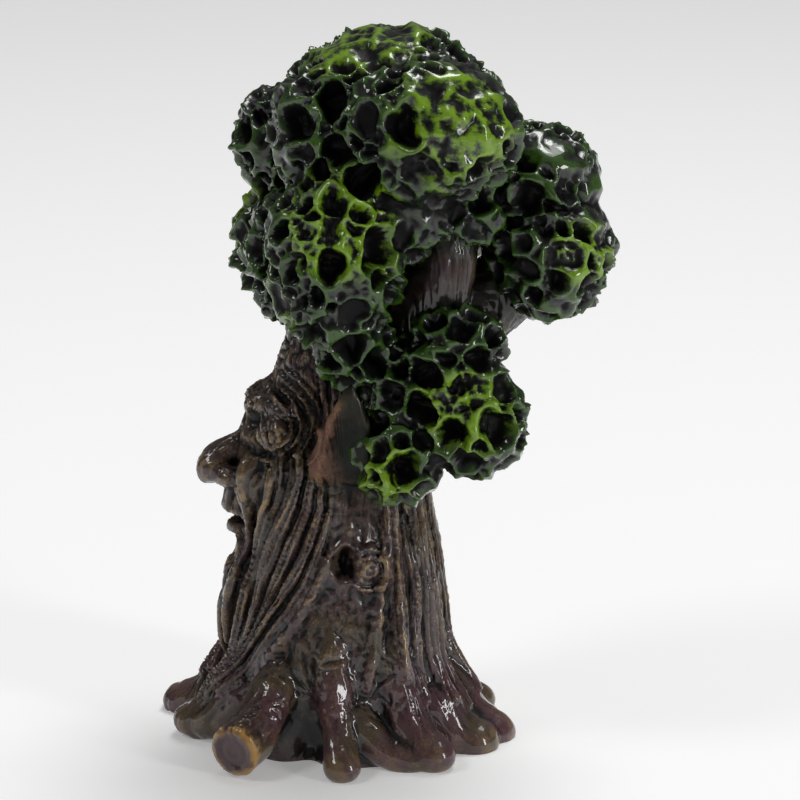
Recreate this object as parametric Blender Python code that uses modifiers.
"""A tree-face figurine: one resin casting of an old trunk with a face, a beard that runs
down into the roots, and a crown of pitted foliage.

Run it with: blender --background --python part.py

Metres, +Z up. The origin is on the flat underside, below the trunk's axis. The face looks
along -Y, so the figure's own left side is +X. An angle is measured round the axis from the
face, and grows towards the figure's left side.
"""

import math
import random

import bmesh
import bpy
import numpy as np
from mathutils import Vector, noise
from mathutils.bvhtree import BVHTree

FIGURE_HEIGHT = 0.120
# The forms below are set out in units of which the whole figure is this many high.
UNITS_HIGH = 118.2
MM = FIGURE_HEIGHT / UNITS_HIGH

# The clay is melded on a grid of this size, and the finished casting has about this many triangles.
TRUNK_GRID = 0.45 * MM
CROWN_GRID = 0.50 * MM
CASTING_GRID = 0.45 * MM
CASTING_TRIANGLES = 9700

# The trunk's half width at each height, before the face, the flutes and the roots are laid on it.
TRUNK_PROFILE = [
    (-3.0, 19.8),
    (0.0, 19.5),
    (3.0, 19.2),
    (7.0, 18.5),
    (12.0, 17.6),
    (18.0, 16.7),
    (25.0, 15.9),
    (33.0, 14.5),
    (40.0, 13.3),
    (48.0, 12.6),
    (55.0, 12.0),
    (61.0, 10.8),
    (67.0, 8.8),
    (74.0, 8.4),
    (84.0, 8.0),
]
TRUNK_STEPS = 48

# Each root leaves the trunk at a shoulder and ends in a tip:
# angle at the shoulder and the tip, shoulder height, reach, tip height, girth at the shoulder and the tip.
ROOTS = {
    "cut_log": (53, 55, 18.0, 29.6, 4.7, 4.6, 4.4),
    "toe": (84, 91, 28.0, 23.6, 1.9, 3.7, 3.2),
    "heel": (92, 121, 13.0, 22.8, 1.5, 3.8, 2.5),
    "flute_toe": (120, 129, 34.0, 24.0, 2.1, 4.0, 3.7),
    "back_left": (150, 157, 14.0, 23.6, 0.9, 6.4, 4.4),
    "back": (172, 170, 16.0, 25.0, 0.6, 6.4, 4.4),
    "front": (26, 9, 17.0, 24.4, 2.7, 6.0, 3.8),
    "front_right": (-14, -18, 17.0, 28.2, 1.3, 5.4, 3.8),
    "right_front": (-42, -46, 18.0, 26.4, 2.4, 4.6, 3.6),
    "right_log": (-70, -74, 17.0, 27.0, 4.2, 4.6, 4.3),
    "right_toe": (-96, -102, 26.0, 23.8, 1.8, 3.8, 3.2),
    "right_heel": (-124, -132, 20.0, 23.4, 1.8, 4.6, 3.6),
    "back_right": (-150, -158, 16.0, 24.0, 1.3, 5.4, 3.8),
}
ROOT_STEPS = 9

# Clumps of the crown: the centre, the half sizes along x, y and z, and how deep their pits are.
CLUMPS = {
    "dome": ((0, 8.0, 100.6), (20.5, 18.6, 17.0), 1.0),
    "dome_left": ((12.5, 13.5, 102.6), (12.6, 15.0, 12.0), 1.0),
    "dome_right": ((-12, 13, 100.0), (12.0, 14.0, 12.5), 1.0),
    "front_lobe_left": ((7.5, -1.8, 101.5), (10.5, 9.2, 11.0), 1.0),
    "front_lobe_right": ((-11, -8.5, 97.0), (9.0, 9.0, 9.4), 1.0),
    "core": ((0, 8, 88.0), (13.5, 14.0, 12.0), 0.3),
    "overhang": ((10, 9.0, 91.0), (9.5, 10.0, 9.5), 0.3),
    "cheek_clump_left": ((15.0, -0.4, 83.0), (10.0, 11.0, 14.4), 1.0),
    "cheek_low_left": ((13.5, 2.5, 69.5), (6.0, 6.4, 7.4), 1.0),
    "cheek_clump_right": ((-10.5, -7.8, 80.0), (10.0, 10.0, 11.2), 1.0),
    "cheek_low_right": ((-12.5, 1.0, 70.5), (6.5, 7.0, 7.0), 1.0),
    "brow_clump": ((1.5, -7.5, 81.0), (9.5, 7.5, 11.5), 1.0),
    "back_upper": ((2, 31.5, 93.0), (11.2, 10.0, 9.4), 1.0),
    "back_lower": ((4, 33.4, 82.5), (11.4, 10.2, 11.2), 1.0),
    "link_left": ((9, 20.0, 90.5), (6.0, 7.0, 6.0), 0.3),
    "link_right": ((-11, 21.0, 88.0), (8.5, 9.5, 9.5), 0.8),
    "side_left_top": ((13.0, 18.5, 67.5), (7.5, 8.5, 7.4), 1.0),
    "side_left": ((14.5, 21.0, 57.5), (8.5, 9.0, 9.4), 1.0),
    "side_left_low": ((15.5, 9.5, 50.6), (6.6, 6.8, 7.0), 1.0),
    "side_left_root": ((13.0, 11.0, 62.0), (6.4, 6.8, 8.4), 1.0),
    "side_right": ((-14.0, 15.5, 62.0), (8.5, 9.5, 11.0), 1.0),
    "side_right_low": ((-15.0, 9.0, 55.5), (6.0, 6.5, 7.0), 1.0),
}

# Pits in the foliage: the range of their radii, how deep they are for their radius, and their rims.
PIT_RADII = (1.5, 3.9)
PIT_AREA = 12.0
PIT_DEPTH = 0.95
RIM_HEIGHT = 0.9
CLOSED_SHARE = 0.22
# How many places of the skin are pressed at a time.
PIT_BATCH = 4000

# Edges that turn more sharply than this are shaded as creases.
CREASE = math.radians(50)

CLAY = bpy.data.collections.new("clay")


def at(x, y, z):
    """A place given in the figure's own units."""
    return Vector((x, y, z)) * MM


def outward(angle):
    """The level direction away from the axis at this angle in degrees."""
    turn = math.radians(angle)
    return Vector((math.sin(turn), -math.cos(turn), 0))


def clear_scene():
    for obj in list(bpy.data.objects):
        bpy.data.objects.remove(obj)
    bpy.context.scene.collection.children.link(CLAY)


def evaluated_mesh(obj):
    """The object's mesh with its modifiers applied, and the object itself removed."""
    bpy.context.view_layer.update()
    graph = bpy.context.evaluated_depsgraph_get()
    mesh = bpy.data.meshes.new_from_object(obj.evaluated_get(graph))
    bpy.data.objects.remove(obj)
    return mesh


class Clay:
    """Pieces of modelling clay that are pressed together and melded into one closed skin."""

    def __init__(self, name):
        self.name = name
        self.lumps = bmesh.new()
        self.coils = bpy.data.curves.new(name + "_coils", "CURVE")
        self.coils.dimensions = "3D"
        self.coils.bevel_depth = 1.0
        self.coils.bevel_resolution = 2
        self.coils.use_fill_caps = True
        self.coils.resolution_u = 3

    def ball(self, centre, radii):
        made = bmesh.ops.create_icosphere(self.lumps, subdivisions=3, radius=1.0)["verts"]
        for vert in made:
            vert.co = Vector(centre) + Vector(c * r for c, r in zip(vert.co, radii))

    def coil(self, points, girths):
        """A roll of clay through these points, with its own half width at each."""
        spline = self.coils.splines.new("NURBS")
        spline.points.add(len(points) - 1)
        for place, point, girth in zip(spline.points, points, girths):
            place.co = (*point, 1.0)
            place.radius = girth
        spline.order_u = min(4, len(points))
        spline.use_endpoint_u = True

    def press(self, mesh):
        self.lumps.from_mesh(mesh)

    def meld(self, grid, smoothing):
        """The pieces as one closed mesh, with the creases between them softened."""
        if self.coils.splines:
            coils = bpy.data.objects.new(self.coils.name, self.coils)
            CLAY.objects.link(coils)
            self.lumps.from_mesh(evaluated_mesh(coils))
        mesh = bpy.data.meshes.new(self.name)
        self.lumps.to_mesh(mesh)
        self.lumps.free()
        return remeshed(mesh, grid, smoothing)


def remeshed(mesh, grid, smoothing):
    obj = bpy.data.objects.new(mesh.name, mesh)
    CLAY.objects.link(obj)
    meld = obj.modifiers.new("meld", "REMESH")
    meld.mode = "VOXEL"
    meld.voxel_size = grid
    if smoothing:
        soften = obj.modifiers.new("soften", "SMOOTH")
        soften.factor = 0.5
        soften.iterations = smoothing
    return evaluated_mesh(obj)


def corners(mesh):
    """(places, normals) of a mesh's vertices as arrays."""
    count = len(mesh.vertices)
    places = np.empty(count * 3)
    normals = np.empty(count * 3)
    mesh.vertices.foreach_get("co", places)
    mesh.vertex_normals.foreach_get("vector", normals)
    return places.reshape(-1, 3), normals.reshape(-1, 3)


def push(mesh, amounts):
    """Moves each vertex along its normal by its own amount."""
    places, normals = corners(mesh)
    mesh.vertices.foreach_set("co", (places + normals * amounts[:, None]).ravel())
    mesh.update()


def smooth_step(low, high, values):
    share = np.clip((values - low) / (high - low), 0, 1)
    return share * share * (3 - 2 * share)


def grain(places, scales, seed):
    """Smooth noise from -1 to 1 at each place, with its own number of waves per unit along x, y and z."""
    shift = Vector((seed * 17.3, seed * 5.1, seed * 9.7))
    scaled = places / MM * np.array(scales)
    return np.array([noise.noise(Vector(p) + shift) for p in scaled])


class Skin:
    """A melded surface that later pieces are laid on."""

    def __init__(self, mesh):
        places = [v.co for v in mesh.vertices]
        self.tree = BVHTree.FromPolygons(places, [p.vertices for p in mesh.polygons])

    def point(self, angle, height):
        """Where the surface is at this angle and height, seen from outside."""
        away = outward(angle)
        start = away * FIGURE_HEIGHT + Vector((0, 0, height))
        return self.tree.ray_cast(start, -away)[0]


def between(values, share):
    return values[0] + (values[1] - values[0]) * share


def turned_trunk(clay):
    """The bare trunk, a profile turned round the axis."""
    mesh = bpy.data.meshes.new("turned_trunk")
    profile = bmesh.new()
    rows = [(0.0, TRUNK_PROFILE[-1][0]), *[(r, z) for z, r in reversed(TRUNK_PROFILE)]]
    rows.append((0.0, TRUNK_PROFILE[0][0]))
    verts = [profile.verts.new(at(r, 0, z)) for r, z in rows]
    for upper, lower in zip(verts, verts[1:]):
        profile.edges.new((upper, lower))
    profile.to_mesh(mesh)
    profile.free()
    obj = bpy.data.objects.new("turned_trunk", mesh)
    CLAY.objects.link(obj)
    screw = obj.modifiers.new("turn", "SCREW")
    screw.steps = screw.render_steps = TRUNK_STEPS
    screw.use_merge_vertices = True
    screw.merge_threshold = 0.01 * MM
    clay.press(evaluated_mesh(obj))


def trunk_radius(height):
    heights, radii = zip(*TRUNK_PROFILE)
    return float(np.interp(height, heights, radii))


def root(clay, shoulder_angle, tip_angle, shoulder, reach, tip, girth, tip_girth):
    """A root that leaves the trunk at its shoulder, runs down it, and turns out along the ground."""
    points, girths = [], []
    start = trunk_radius(shoulder) - 0.55 * girth
    for step in range(ROOT_STEPS):
        share = step / (ROOT_STEPS - 1)
        height = tip + (shoulder - tip) * (1 - share) ** 1.9
        distance = start + (reach - start) * share**1.25
        angle = between((shoulder_angle, tip_angle), share**1.1)
        points.append((outward(angle) * distance + Vector((0, 0, height))) * MM)
        girths.append(between((girth, tip_girth), share) * min(1.0, 0.35 + 2.2 * share) * MM)
    clay.coil(points, girths)
    return points[-1]


def lay_roots(clay):
    for name, values in ROOTS.items():
        end = root(clay, *values)
        if not name.endswith("log"):
            clay.ball(end, [values[-1] * share * MM for share in (1.0, 1.0, 0.84)])


def press_face(clay):
    """The face: nose, brows, heavy eyelids, cheek pouches, lips and chin, on the front of the trunk."""
    clay.ball(at(0, -7.4, 45.0), (10.4 * MM, 9.6 * MM, 17.0 * MM))
    clay.ball(at(0, -11.8, 21.0), (8.4 * MM, 7.6 * MM, 14.0 * MM))
    clay.coil([at(0, -13.4, 51.0), at(0, -16.4, 49.3), at(0, -19.0, 47.7), at(0, -20.6, 46.0)],
              [1.6 * MM, 1.9 * MM, 2.3 * MM, 2.9 * MM])
    clay.ball(at(0, -20.6, 45.2), (3.7 * MM, 3.2 * MM, 3.1 * MM))
    clay.ball(at(0, -13.8, 33.2), (4.8 * MM, 3.4 * MM, 3.0 * MM))
    clay.ball(at(0, -15.2, 40.8), (5.4 * MM, 4.0 * MM, 3.4 * MM))
    clay.coil([at(-5.8, -14.0, 37.8), at(-2.8, -17.6, 39.3), at(0, -19.2, 38.6), at(2.8, -17.6, 39.3),
               at(5.8, -14.0, 37.8)], [0.7 * MM, 1.3 * MM, 1.2 * MM, 1.3 * MM, 0.7 * MM])
    clay.coil([at(-5.0, -14.0, 36.6), at(-2.2, -17.0, 35.2), at(0, -18.0, 35.4), at(2.2, -17.0, 35.2),
               at(5.0, -14.0, 36.6)], [0.7 * MM, 1.4 * MM, 1.5 * MM, 1.4 * MM, 0.7 * MM])
    for side in (-1, 1):
        clay.ball(at(side * 3.2, -18.2, 44.1), (2.0 * MM, 2.5 * MM, 2.1 * MM))
        clay.ball(at(side * 2.4, -13.4, 56.0), (3.0 * MM, 2.4 * MM, 2.4 * MM))
        clay.coil([at(side * 2.0, -13.8, 56.0), at(side * 4.8, -13.0, 57.0), at(side * 8.0, -9.8, 57.6),
                   at(side * 11.2, -5.8, 56.6)], [1.8 * MM, 2.0 * MM, 1.7 * MM, 0.9 * MM])
        clay.ball(at(side * 7.6, -10.1, 53.0), (4.2 * MM, 3.2 * MM, 3.2 * MM))
        clay.coil([at(side * 3.4, -15.0, 50.0), at(side * 6.6, -14.8, 48.8), at(side * 10.6, -11.4, 49.4)],
                  [0.7 * MM, 1.0 * MM, 0.7 * MM])
        clay.ball(at(side * 6.2, -14.0, 44.8), (2.9 * MM, 3.0 * MM, 4.8 * MM))


def press_forehead(clay):
    """Knobbly wrinkles where the forehead runs up under the foliage."""
    for height, spread, depth in ((60.2, 9.0, -9.6), (63.4, 8.0, -6.6), (66.6, 7.0, -4.6)):
        clay.coil([at(-spread, depth + 4.4, height - 0.8), at(-spread / 3, depth, height),
                   at(0, depth - 0.4, height - 0.9), at(spread / 3, depth, height),
                   at(spread, depth + 4.4, height - 0.8)],
                  [1.0 * MM, 1.7 * MM, 1.5 * MM, 1.7 * MM, 1.0 * MM])


# The half width of the rolls of an ear, from its root to its tip.
EAR_GIRTHS = (1.6, 1.7, 1.4, 0.9, 0.3)


def press_ear(clay, side):
    """A broad pointed ear that stands off the side of the head, as a fan of rolls with its hollow outward."""
    for lean in (-1.0, -0.6, -0.2, 0.2, 0.6, 1.0):
        root = at(side * 11.4, 0.4 + 3.0 * lean, 46.0)
        lobe = at(side * (14.2 + 1.3 * lean**2), 0.4 + 4.4 * lean, 50.0)
        middle = at(side * (15.6 + 1.0 * lean**2), 1.0 + 3.4 * lean, 54.8)
        upper = at(side * 16.7, 1.6 + 1.5 * lean, 59.6)
        clay.coil([root, lobe, middle, upper, at(side * 17.0, 2.0, 63.8)], [g * MM for g in EAR_GIRTHS])


def press_branches(clay):
    """Boughs that carry the crown, seen from behind and below between the clumps."""
    clay.coil([at(1, 2, 60), at(2, 10, 66), at(2, 20, 71.5), at(2, 28, 76), at(3, 33, 84)],
              [8.5 * MM, 7.6 * MM, 7.0 * MM, 6.4 * MM, 4.5 * MM])
    clay.coil([at(2, 6, 62), at(8, 14, 71), at(9, 18, 79), at(8, 18, 88)],
              [6.5 * MM, 5.8 * MM, 5.0 * MM, 4.0 * MM])
    clay.coil([at(-2, 6, 62), at(-8, 13, 70), at(-10, 16, 80)], [6.0 * MM, 5.2 * MM, 4.2 * MM])


# The grain of the bark and the beard: the angles of ten guides, from the middle of the face round the
# left side to the middle of the back, at each of these heights. The right side mirrors them.
FLOW_HEIGHTS = [66, 58, 52, 47, 42, 36, 30, 25, 20, 15, 10, 4]
FLOW = [
    [0, 0, 0, 0, 0, 0, 0, 0, 0, 0, 0, 0],
    [10, 14, 24, 27, 27, 21, 17, 15, 13, 9, 3, 0],
    [40, 52, 62, 63, 56, 44, 40, 38, 33, 24, 13, 8],
    [62, 68, 72, 76, 76, 70, 61, 51, 40, 29, 19, 14],
    [84, 86, 88, 90, 88, 84, 78, 70, 59, 46, 34, 27],
    [96, 97, 97, 98, 98, 96, 94, 90, 84, 77, 74, 72],
    [111, 111, 111, 111, 110, 108, 106, 104, 101, 98, 94, 92],
    [131, 131, 131, 131, 130, 129, 128, 127, 126, 125, 124, 124],
    [155, 155, 155, 155, 155, 155, 155, 155, 155, 156, 157, 158],
    [180, 180, 180, 180, 180, 180, 180, 180, 180, 180, 180, 180],
]
# How many ribs there are between each guide and the next, and how deep the furrows between them are.
RIBS = [3, 6, 4, 4, 4, 4, 5, 5, 5]
FURROWS = [0.9, 1.2, 1.1, 0.8, 0.4, 0.35, 0.6, 1.0, 1.1]


def guide_angle(flow, height):
    """The angle of the grain's line number flow, which may be a fraction, at this height."""
    low = min(int(flow), len(FLOW) - 2)
    heights = FLOW_HEIGHTS[::-1]
    ends = [float(np.interp(height, heights, FLOW[k][::-1])) for k in (low, low + 1)]
    return between(ends, flow - low)


def flow_lines(turns, heights):
    """The number of the grain's line that runs through each place, from its angle and height."""
    levels = FLOW_HEIGHTS[::-1]
    guides = np.array([np.interp(heights, levels, guide[::-1]) for guide in FLOW])
    lines = np.zeros(len(turns))
    for number in range(len(FLOW) - 1):
        low, high = guides[number], guides[number + 1]
        share = (turns - low) / np.maximum(high - low, 0.5)
        lines = np.where(turns >= low, number + np.clip(share, 0, 1), lines)
    return lines


# Locks that stand out of the beard and the bark: the grain's line at the top and the bottom, the
# heights there, and the girth.
LOCKS = [
    (0.85, 0.9, 44.0, 16.0, 1.3),
    (1.35, 1.4, 47.5, 12.0, 1.2),
    (1.72, 1.7, 50.0, 9.0, 1.3),
    (2.0, 2.0, 51.5, 8.0, 1.7),
    (2.3, 2.35, 48.0, 7.0, 1.3),
    (2.65, 2.6, 46.0, 7.0, 1.5),
    (3.0, 3.0, 44.5, 8.0, 1.6),
    (3.4, 3.3, 41.0, 9.0, 1.2),
    (3.9, 3.8, 34.0, 12.0, 1.4),
    (6.4, 6.3, 30.0, 12.0, 1.2),
    (6.8, 6.9, 46.0, 14.0, 1.6),
    (7.3, 7.3, 40.0, 9.0, 1.5),
    (7.7, 7.8, 58.0, 8.0, 1.8),
    (8.2, 8.1, 50.0, 6.0, 1.6),
    (8.7, 8.7, 60.0, 7.0, 1.8),
]
LOCK_STEPS = 13
# The flat lock below the chin: height, place in front of the axis, half width and half height of its balls.
CHIN_LOCK = ((30.5, -15.6, 2.6, 3.0), (25.5, -17.6, 3.0, 5.0), (19.5, -18.6, 2.3, 6.0))
CHIN_LOCK_DEPTH = 1.7 * MM


def lay_locks(clay, skin):
    """Hair, beard and ribs of bark that stand out, laid on the melded trunk along its grain."""
    dice = random.Random(5)
    for side in (1, -1):
        for top_line, low_line, top, low, girth in LOCKS:
            shift = dice.uniform(-0.06, 0.06)
            points, girths = [], []
            for step in range(LOCK_STEPS):
                share = step / (LOCK_STEPS - 1)
                height = between((top, low), share)
                line = between((top_line, low_line), share) + shift * math.sin(4 * share * math.pi)
                angle = side * guide_angle(line, height)
                place = skin.point(angle, height * MM)
                if place is not None:
                    thick = girth * MM * (0.3 + 0.75 * math.sin(math.pi * (0.06 + 0.86 * share)) ** 0.6)
                    points.append(place - outward(angle) * thick * 0.1)
                    girths.append(thick)
            clay.coil(points, girths)
    for height, depth, wide, tall in CHIN_LOCK:
        clay.ball(at(0.6, depth, height), (wide * MM, CHIN_LOCK_DEPTH, tall * MM))


def on_ear(places):
    """1 on the ears, and 0 away from them."""
    x, y, z = places.T / MM
    side = smooth_step(12.6, 13.8, np.abs(x)) * smooth_step(-6.0, -4.4, y) * smooth_step(7.4, 6.0, y)
    return side * smooth_step(46.0, 48.0, z) * smooth_step(66.0, 64.0, z)


def carve_grain(mesh):
    """Furrows between the ribs of bark and the locks of the beard, and the crumpled skin of the face."""
    places, normals = corners(mesh)
    heights = places[:, 2] / MM
    turns = np.degrees(np.arctan2(np.abs(places[:, 0]), -places[:, 1]))
    reach = np.hypot(places[:, 0], places[:, 1]) / MM
    slow = grain(places, (0.12, 0.12, 0.05), 3)
    quick = grain(places, (0.5, 0.5, 0.12), 4)
    lines = flow_lines(turns, heights) + 0.16 * slow + 0.035 * quick
    interval = np.clip(lines.astype(int), 0, len(RIBS) - 1)
    ribs = np.array(RIBS)[interval] * (lines - interval)
    across = np.abs((ribs + 0.37 * interval) % 1 - 0.5) * 2
    coarse = np.sqrt(np.maximum(1 - 0.97 * across**2, 0)) - 0.72
    fine = np.abs((ribs * 3 + slow * 1.5) % 1 - 0.5) * 2
    depth = np.array(FURROWS)[interval] * (0.75 + 0.5 * grain(places, (0.15, 0.15, 0.08), 6))
    upright = smooth_step(0.9, 0.55, np.abs(normals[:, 2]))
    face = (lines < 1.0) & (heights > 33.5) & (heights < 75)
    brow = smooth_step(50.5, 52.5, heights) * (turns < 70)
    branches = smooth_step(64.0, 68.0, heights)
    tips = smooth_step(23.0, 26.0, reach)
    plain_roots = smooth_step(48, 62, turns) * smooth_step(20, 11, heights)
    calm = smooth_step(3.2, 4.0, lines) * smooth_step(7.0, 6.2, lines) * smooth_step(54, 48, heights)
    keep = upright * (1 - 0.75 * tips) * (1 - 0.6 * branches) * np.where(face, 0.0, 1 - brow)
    keep *= (1 - on_ear(places)) * (1 - 0.8 * plain_roots) * (1 - 0.75 * calm)
    flutes = 0.42 * np.cos(4 * math.pi * lines) * (1 - plain_roots)
    amounts = keep * (1.05 * depth * coarse + flutes - 0.22 * fine**2)
    crumple = smooth_step(49.0, 52.0, heights) * smooth_step(100, 80, turns) * (1 - on_ear(places))
    wrinkles = np.abs(grain(places, (0.55, 0.55, 0.32), 9))
    amounts += crumple * 0.5 * (0.35 - np.exp(-((wrinkles / 0.10) ** 2)))
    return amounts * MM + 0.16 * MM * grain(places, (0.35, 0.35, 0.3), 8)


def carve_temples(mesh):
    """Thin raised arcs round the outer corner of each eye."""
    places, _ = corners(mesh)
    cut = np.zeros(len(places))
    for side in (-1, 1):
        eye = np.array(at(side * 8.4, -11.6, 55.0))
        offset = (places - eye) / MM
        away = np.hypot(offset[:, 1] * 0.95, offset[:, 2])
        rings = np.abs((away / 1.6) % 1 - 0.5) / 0.14
        where = smooth_step(2.2, 3.4, away) * smooth_step(9.6, 8.2, away)
        where = where * smooth_step(-0.2, 1.4, offset[:, 1] + 0.25 * offset[:, 2])
        where = where * smooth_step(4.0, 6.0, side * places[:, 0] / MM)
        where = where * smooth_step(-7.0, -4.0, offset[:, 2])
        cut += where * (0.75 * np.exp(-(rings**2)) - 0.30)
    return cut * MM


def dent(places, centre, sizes, depth, sharpness=2.0):
    """A hollow, or with a negative depth a swelling, that fades out at these half sizes."""
    away = np.linalg.norm((places - np.array(centre)) / np.array([s * MM for s in sizes]), axis=1)
    return -depth * MM * np.exp(-(away**sharpness))


def ring_ridge(places, centre, radius, width, height):
    away = np.linalg.norm(places - np.array(centre), axis=1) / MM
    return height * MM * np.exp(-(((away - radius) / width) ** 2))


# The angle and height of the knot hole and of the swirled bump beside it, and the dark hollow between
# the cut log and the next root.
KNOT_HOLE = (94, 33.0 * MM)
SWIRL = (108, 32.0 * MM)
ROOT_CAVE_ANGLE = 73
ROOT_CAVE_REACH = 19.0 * MM
ROOT_CAVE_HEIGHT = 2.5 * MM


def carve_features(mesh, skin):
    """The mouth, nostrils, eye slits, ear hollows, the knot hole and the hollow between two roots."""
    places, _ = corners(mesh)
    knot = skin.point(*KNOT_HOLE)
    swirl = skin.point(*SWIRL)
    cave = outward(ROOT_CAVE_ANGLE) * ROOT_CAVE_REACH + Vector((0, 0, ROOT_CAVE_HEIGHT))
    cut = dent(places, cave, (3.6, 3.2, 5.5), 3.6)
    cut += dent(places, knot, (1.6, 1.5, 2.3), 3.2, 3.0) + ring_ridge(places, knot, 2.9, 0.8, 0.5)
    cut += dent(places, swirl, (3.2, 3.2, 3.2), -1.0) + ring_ridge(places, swirl, 3.4, 0.6, 0.5)
    cut += dent(places, at(0, -18.2, 37.0), (5.6, 4.0, 0.7), 1.7)
    for side in (-1, 1):
        cut += dent(places, at(side * 1.5, -20.2, 42.4), (1.0, 1.3, 1.0), 1.0)
        cut += dent(places, at(side * 7.4, -13.8, 49.9), (4.4, 3.0, 0.8), 1.7)
        cut += dent(places, at(side * 4.4, -14.8, 54.2), (2.0, 2.2, 1.9), 2.2)
        cut += dent(places, at(side * 18.0, 0.6, 53.5), (2.4, 2.0, 5.0), 1.5)
        cut += dent(places, at(side * 12.5, -3.4, 57.5), (2.4, 1.8, 4.0), 1.8)
        cut += dent(places, at(side * 3.7, -17.0, 42.8), (0.9, 2.4, 3.0), 1.2)
    return cut


def build_trunk():
    """The trunk with its face and roots, as one closed mesh."""
    body = Clay("trunk_body")
    turned_trunk(body)
    lay_roots(body)
    press_face(body)
    press_forehead(body)
    press_branches(body)
    for side in (-1, 1):
        press_ear(body, side)
    mesh = body.meld(TRUNK_GRID, 5)
    skin = Skin(mesh)
    dressed = Clay("trunk")
    dressed.press(mesh)
    lay_locks(dressed, skin)
    mesh = dressed.meld(TRUNK_GRID, 1)
    push(mesh, carve_grain(mesh) + carve_temples(mesh) + carve_features(mesh, skin))
    return mesh


def foliage_pits():
    """(centres, radii, depths) of the pits, spread over the outside of the clumps."""
    dice = random.Random(11)
    shapes = [(np.array(c) * MM, np.array(r) * MM, deep) for c, r, deep in CLUMPS.values()]
    centres, radii, depths = [], [], []
    for centre, sizes, deepness in shapes:
        count = int(4 * math.pi * np.mean(sizes**2) / (PIT_AREA * MM * MM))
        for number in range(count):
            rise = 1 - 2 * (number + 0.5) / count
            turn = number * math.pi * (3 - math.sqrt(5)) + dice.uniform(-0.3, 0.3)
            level = math.sqrt(1 - rise * rise)
            place = centre + sizes * np.array([level * math.cos(turn), level * math.sin(turn), rise])
            radius = MM * between(PIT_RADII, dice.random() ** 1.3)
            depth = radius * PIT_DEPTH * deepness * dice.uniform(0.75, 1.15)
            if dice.random() < CLOSED_SHARE:
                depth *= 0.25
            hidden = any(np.linalg.norm((place - c) / s) < 0.94 for c, s, _ in shapes if c is not centre)
            crowded = centres and np.any(
                np.linalg.norm(np.array(centres) - place, axis=1) < 0.7 * (np.array(radii) + radius)
            )
            if not hidden and not crowded:
                centres.append(place)
                radii.append(radius)
                depths.append(depth)
    return np.array(centres), np.array(radii), np.array(depths)


def carve_pits(mesh):
    """Hollows pressed into the foliage with a round tool, which leave a net of sharp rims between them."""
    places, normals = corners(mesh)
    centres, radii, depths = foliage_pits()
    warp = np.stack([grain(places, (0.17, 0.17, 0.17), seed) for seed in (21, 22, 23)], 1)
    warped = places + 1.5 * MM * warp
    ragged = grain(places, (0.45, 0.45, 0.45), 24)
    worn = smooth_step(0.25, 0.75, grain(places, (0.05, 0.05, 0.05), 25) + 0.55 * normals[:, 2])
    amounts = np.empty(len(places))
    for start in range(0, len(places), PIT_BATCH):
        rows = slice(start, start + PIT_BATCH)
        away = np.linalg.norm(warped[rows, None] - centres[None], axis=2) / radii
        order = np.argpartition(away, 1, axis=1)
        near = np.take_along_axis(away, order[:, :2], 1)
        inside = smooth_step(0.02, 0.5, near[:, 1] - near[:, 0]) * smooth_step(1.28, 0.78, near[:, 0])
        lip = RIM_HEIGHT * (0.75 + 0.7 * ragged[rows]) * (1 - inside)
        lip -= 0.5 * smooth_step(1.25, 1.8, near[:, 0])
        hollow = depths[order[:, 0]] * (1 - 0.6 * worn[rows]) * inside
        amounts[rows] = MM * lip - hollow
    return amounts


def build_crown():
    """The crown of foliage, as one closed mesh."""
    crown = Clay("crown")
    for centre, sizes, _ in CLUMPS.values():
        crown.ball(at(*centre), [s * MM for s in sizes])
    mesh = crown.meld(CROWN_GRID, 5)
    places, _ = corners(mesh)
    push(mesh, 0.9 * MM * grain(places, (0.16, 0.16, 0.16), 31))
    push(mesh, carve_pits(mesh))
    return mesh


def resin():
    """Aubergine brown resin paint with a gloss varnish."""
    paint = bpy.data.materials.new("painted_resin")
    paint.use_nodes = True
    shader = paint.node_tree.nodes["Principled BSDF"]
    shader.inputs["Base Color"].default_value = (0.055, 0.04, 0.028, 1)
    shader.inputs["Roughness"].default_value = 0.3
    shader.inputs["Metallic"].default_value = 0.0
    return paint


def ground_cutter():
    """A block that takes off what lies below the ground."""
    side = FIGURE_HEIGHT
    mesh = bpy.data.meshes.new("ground_cutter")
    block = bmesh.new()
    bmesh.ops.create_cube(block, size=side)
    bmesh.ops.translate(block, verts=block.verts, vec=(0, 0, -side / 2))
    block.to_mesh(mesh)
    block.free()
    cutter = bpy.data.objects.new("ground_cutter", mesh)
    cutters = bpy.data.collections.new("cutters")
    bpy.context.scene.collection.children.link(cutters)
    cutters.objects.link(cutter)
    cutter.hide_render = True
    cutter.display_type = "WIRE"
    return cutter


def build_figure():
    """The finished casting: trunk and crown in one, with a flat underside."""
    whole = Clay("tree_figure")
    whole.press(build_trunk())
    whole.press(build_crown())
    mesh = whole.meld(CASTING_GRID, 0)
    mesh.materials.append(resin())
    mesh.shade_smooth()
    mesh.set_sharp_from_angle(angle=CREASE)
    figure = bpy.data.objects.new("tree_figure", mesh)
    part = bpy.data.collections.new("tree_face_figurine")
    bpy.context.scene.collection.children.link(part)
    part.objects.link(figure)
    thin = figure.modifiers.new("thin", "DECIMATE")
    thin.ratio = CASTING_TRIANGLES / (2 * len(mesh.polygons))
    flat = figure.modifiers.new("flat_underside", "BOOLEAN")
    flat.operation = "DIFFERENCE"
    flat.object = ground_cutter()


clear_scene()
build_figure()
